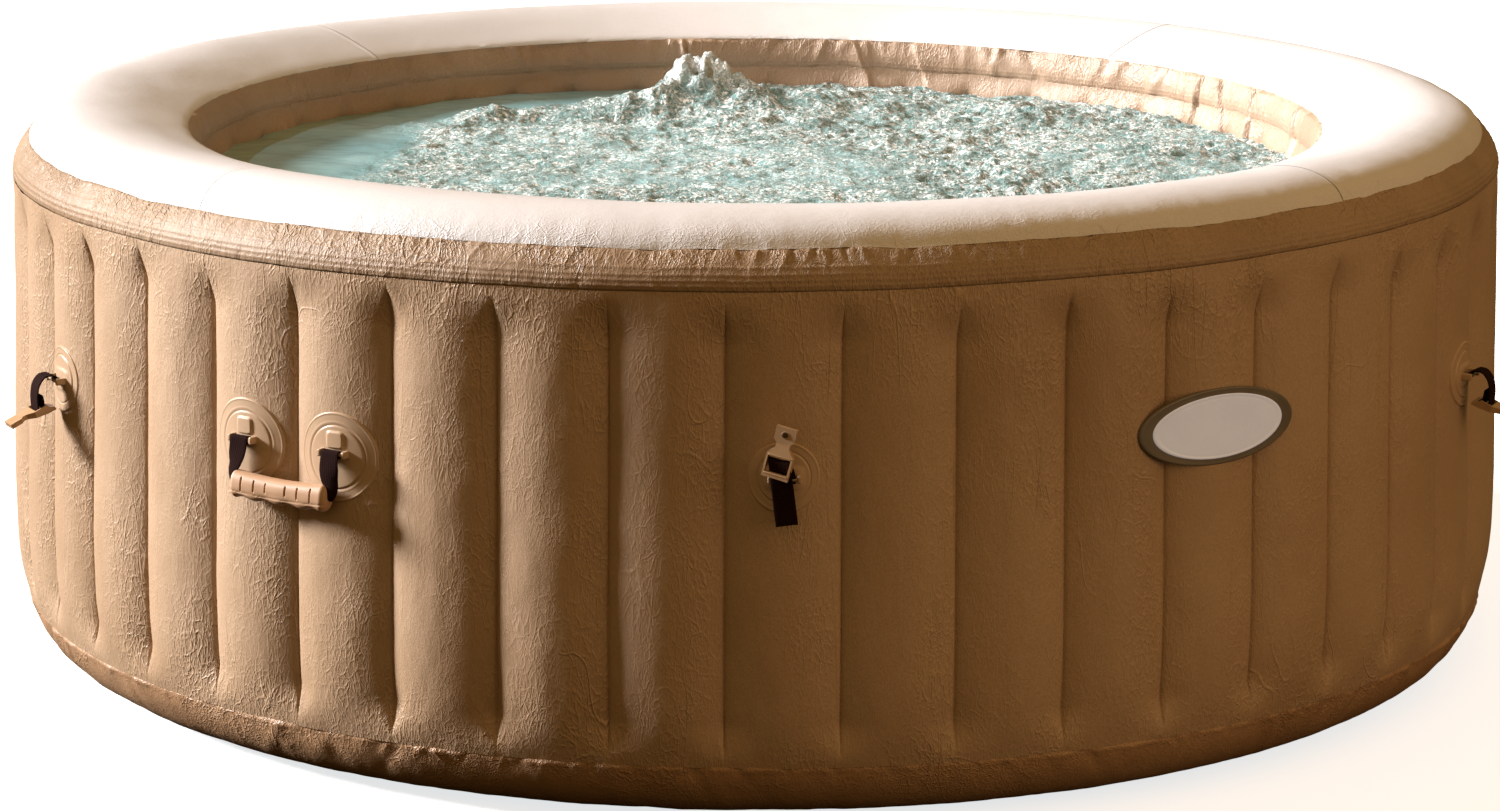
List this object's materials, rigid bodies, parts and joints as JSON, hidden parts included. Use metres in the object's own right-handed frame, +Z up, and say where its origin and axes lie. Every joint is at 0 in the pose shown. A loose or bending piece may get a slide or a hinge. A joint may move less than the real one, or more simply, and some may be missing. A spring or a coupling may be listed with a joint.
{
  "type": "inflatable hot tub",
  "caption": "Round inflatable hot tub: lobed vinyl air chamber with a pale rim, floor, cover latches, carry handles, oval badge plate, air valve, drain and capped hose ports.",
  "frame": {"origin": "on the ground at the centre of the tub's footprint", "axes": "+Z up; -Y towards the front, where the upright latch is; +X to the right seen from the front"},
  "size_m": [1.9506, 2.0454, 0.71],
  "materials": {
    "wall_vinyl": "leather-grain vinyl, light brown",
    "band_vinyl": "smooth vinyl, taupe",
    "rim_vinyl": "smooth vinyl, cream",
    "floor_vinyl": "grained vinyl, brown",
    "clear_vinyl": "thick smooth vinyl, light brown",
    "web_fabric": "coated mesh",
    "webbing": "woven polyester, dark brown",
    "latch_plastic": "moulded, light brown",
    "grip_plastic": "moulded, tan",
    "badge_dark": "moulded, dark grey-brown",
    "badge_light": "moulded, light grey-beige",
    "port_plastic": "moulded, grey-brown"
  },
  "bodies": {
    "tub": {"outer_wall": "wall_vinyl", "outer_rim_band": "band_vinyl", "rim_panel_1": "rim_vinyl", "rim_panel_2": "rim_vinyl", "rim_panel_3": "rim_vinyl", "rim_panel_4": "rim_vinyl", "inner_rim_band": "band_vinyl", "inner_wall": "wall_vinyl", "base_roll": "wall_vinyl", "ground_sheet": "floor_vinyl", "tub_floor": "floor_vinyl", "bubble_channel": "clear_vinyl", "tie_webs": "web_fabric", "latch_1_patch": "clear_vinyl", "latch_2_patch": "clear_vinyl", "latch_3_patch": "clear_vinyl", "latch_4_patch": "clear_vinyl", "latch_5_patch": "clear_vinyl", "latch_6_patch": "clear_vinyl", "handle_1_left_patch": "clear_vinyl", "handle_1_right_patch": "clear_vinyl", "handle_2_left_patch": "clear_vinyl", "handle_2_right_patch": "clear_vinyl", "badge_plate": "badge_dark", "badge_face": "badge_light", "air_valve_body": "port_plastic", "drain_valve_body": "port_plastic", "inlet_port": "port_plastic", "inlet_strainer": "port_plastic", "outlet_port": "port_plastic", "outlet_strainer": "port_plastic", "air_port": "port_plastic"},
    "latch_1_strap": {"latch_1_strap": "webbing"},
    "latch_1_buckle": {"latch_1_buckle": "latch_plastic"},
    "latch_1_lock": {"latch_1_lock": "latch_plastic"},
    "latch_2_strap": {"latch_2_strap": "webbing"},
    "latch_2_buckle": {"latch_2_buckle": "latch_plastic"},
    "latch_2_lock": {"latch_2_lock": "latch_plastic"},
    "latch_3_strap": {"latch_3_strap": "webbing"},
    "latch_3_buckle": {"latch_3_buckle": "latch_plastic"},
    "latch_3_lock": {"latch_3_lock": "latch_plastic"},
    "latch_4_strap": {"latch_4_strap": "webbing"},
    "latch_4_buckle": {"latch_4_buckle": "latch_plastic"},
    "latch_4_lock": {"latch_4_lock": "latch_plastic"},
    "latch_5_strap": {"latch_5_strap": "webbing"},
    "latch_5_buckle": {"latch_5_buckle": "latch_plastic"},
    "latch_5_lock": {"latch_5_lock": "latch_plastic"},
    "latch_6_strap": {"latch_6_strap": "webbing"},
    "latch_6_buckle": {"latch_6_buckle": "latch_plastic"},
    "latch_6_lock": {"latch_6_lock": "latch_plastic"},
    "handle_1": {"handle_1_webbing": "webbing", "handle_1_grip": "grip_plastic"},
    "handle_2": {"handle_2_webbing": "webbing", "handle_2_grip": "grip_plastic"},
    "air_valve_cap": {"air_valve_cap": "port_plastic"},
    "drain_valve_cap": {"drain_valve_cap": "port_plastic"},
    "inlet_port_cap": {"inlet_port_cap": "port_plastic"},
    "outlet_port_cap": {"outlet_port_cap": "port_plastic"},
    "air_port_cap": {"air_port_cap": "port_plastic"},
    "air_valve_stem": {"air_valve_stem": "latch_plastic"}
  },
  "joints": [
    {"name": "latch_1_swing", "type": "hinge", "parent": "tub", "child": "latch_1_strap", "pos_m": [0.03283, -0.98288, 0.42], "axis": [0.9994, 0.0334, 0], "range_deg": [-5, 12]},
    {"name": "latch_1_buckle_tilt", "type": "hinge", "parent": "latch_1_strap", "child": "latch_1_buckle", "pos_m": [0.03315, -0.99237, 0.44], "axis": [0.9994, 0.0334, 0], "range_deg": [-10, 0]},
    {"name": "latch_1_lock_turn", "type": "hinge", "parent": "latch_1_buckle", "child": "latch_1_lock", "pos_m": [0.03323, -0.99487, 0.474], "axis": [0.0334, -0.9994, 0], "range_deg": [0, 90]},
    {"name": "latch_2_swing", "type": "hinge", "parent": "tub", "child": "latch_2_strap", "pos_m": [0.88778, -0.42304, 0.42], "axis": [-0.4302, -0.9027, 0], "range_deg": [-8, 75]},
    {"name": "latch_2_buckle_tilt", "type": "hinge", "parent": "latch_2_strap", "child": "latch_2_buckle", "pos_m": [0.90674, -0.43207, 0.387], "axis": [-0.4302, -0.9027, 0], "range_deg": [-30, 40]},
    {"name": "latch_2_lock_turn", "type": "hinge", "parent": "latch_2_buckle", "child": "latch_2_lock", "pos_m": [0.93361, -0.44487, 0.37036], "axis": [-0.3815, 0.1818, -0.9063], "range_deg": [0, 90]},
    {"name": "latch_3_swing", "type": "hinge", "parent": "tub", "child": "latch_3_strap", "pos_m": [0.85758, 0.48134, 0.42], "axis": [0.4894, -0.872, 0], "range_deg": [-8, 75]},
    {"name": "latch_3_buckle_tilt", "type": "hinge", "parent": "latch_3_strap", "child": "latch_3_buckle", "pos_m": [0.87589, 0.49161, 0.387], "axis": [0.4894, -0.872, 0], "range_deg": [-30, 40]},
    {"name": "latch_3_lock_turn", "type": "hinge", "parent": "latch_3_buckle", "child": "latch_3_lock", "pos_m": [0.90184, 0.50618, 0.37036], "axis": [-0.3685, -0.2068, -0.9063], "range_deg": [0, 90]},
    {"name": "latch_4_swing", "type": "hinge", "parent": "tub", "child": "latch_4_strap", "pos_m": [-0.03283, 0.98288, 0.42], "axis": [0.9994, 0.0334, 0], "range_deg": [-8, 75]},
    {"name": "latch_4_buckle_tilt", "type": "hinge", "parent": "latch_4_strap", "child": "latch_4_buckle", "pos_m": [-0.03353, 1.00386, 0.387], "axis": [0.9994, 0.0334, 0], "range_deg": [-30, 40]},
    {"name": "latch_4_lock_turn", "type": "hinge", "parent": "latch_4_buckle", "child": "latch_4_lock", "pos_m": [-0.03452, 1.03361, 0.37036], "axis": [0.0141, -0.4224, -0.9063], "range_deg": [0, 90]},
    {"name": "latch_5_swing", "type": "hinge", "parent": "tub", "child": "latch_5_strap", "pos_m": [-0.88778, 0.42304, 0.42], "axis": [0.4302, 0.9027, 0], "range_deg": [-8, 75]},
    {"name": "latch_5_buckle_tilt", "type": "hinge", "parent": "latch_5_strap", "child": "latch_5_buckle", "pos_m": [-0.90674, 0.43207, 0.387], "axis": [0.4302, 0.9027, 0], "range_deg": [-30, 40]},
    {"name": "latch_5_lock_turn", "type": "hinge", "parent": "latch_5_buckle", "child": "latch_5_lock", "pos_m": [-0.93361, 0.44487, 0.37036], "axis": [0.3815, -0.1818, -0.9063], "range_deg": [0, 90]},
    {"name": "latch_6_swing", "type": "hinge", "parent": "tub", "child": "latch_6_strap", "pos_m": [-0.85758, -0.48134, 0.42], "axis": [-0.4894, 0.872, 0], "range_deg": [-8, 75]},
    {"name": "latch_6_buckle_tilt", "type": "hinge", "parent": "latch_6_strap", "child": "latch_6_buckle", "pos_m": [-0.87589, -0.49161, 0.387], "axis": [-0.4894, 0.872, 0], "range_deg": [-30, 40]},
    {"name": "latch_6_lock_turn", "type": "hinge", "parent": "latch_6_buckle", "child": "latch_6_lock", "pos_m": [-0.90184, -0.50618, 0.37036], "axis": [0.3685, 0.2068, -0.9063], "range_deg": [0, 90]},
    {"name": "handle_1_swing", "type": "hinge", "parent": "tub", "child": "handle_1", "pos_m": [-0.5377, -0.81843, 0.417], "axis": [-0.8358, 0.5491, 0], "range_deg": [0, 145]},
    {"name": "handle_2_swing", "type": "hinge", "parent": "tub", "child": "handle_2", "pos_m": [0.5377, 0.81843, 0.417], "axis": [0.8358, -0.5491, 0], "range_deg": [0, 145]},
    {"name": "air_valve_cap_turn", "type": "hinge", "parent": "tub", "child": "air_valve_cap", "pos_m": [0.35979, 0.91033, 0.52], "axis": [0.3676, 0.93, 0], "continuous": true},
    {"name": "drain_valve_cap_turn", "type": "hinge", "parent": "tub", "child": "drain_valve_cap", "pos_m": [-0.03284, 0.9832, 0.12], "axis": [-0.0334, 0.9994, 0], "continuous": true},
    {"name": "inlet_port_cap_turn", "type": "hinge", "parent": "tub", "child": "inlet_port_cap", "pos_m": [0.10131, 0.97819, 0.23], "axis": [0.103, 0.9947, 0], "continuous": true},
    {"name": "outlet_port_cap_turn", "type": "hinge", "parent": "tub", "child": "outlet_port_cap", "pos_m": [-0.03283, 0.98288, 0.23], "axis": [-0.0334, 0.9994, 0], "continuous": true},
    {"name": "air_port_cap_turn", "type": "hinge", "parent": "tub", "child": "air_port_cap", "pos_m": [0.10113, 0.97646, 0.34], "axis": [0.103, 0.9947, 0], "continuous": true},
    {"name": "air_valve_press", "type": "slide", "parent": "tub", "child": "air_valve_stem", "axis": [-0.3676, -0.93, 0], "range_m": [0, 0.0035], "stiffness_N_per_m": 300, "springref_m": -0.001}
  ]
}
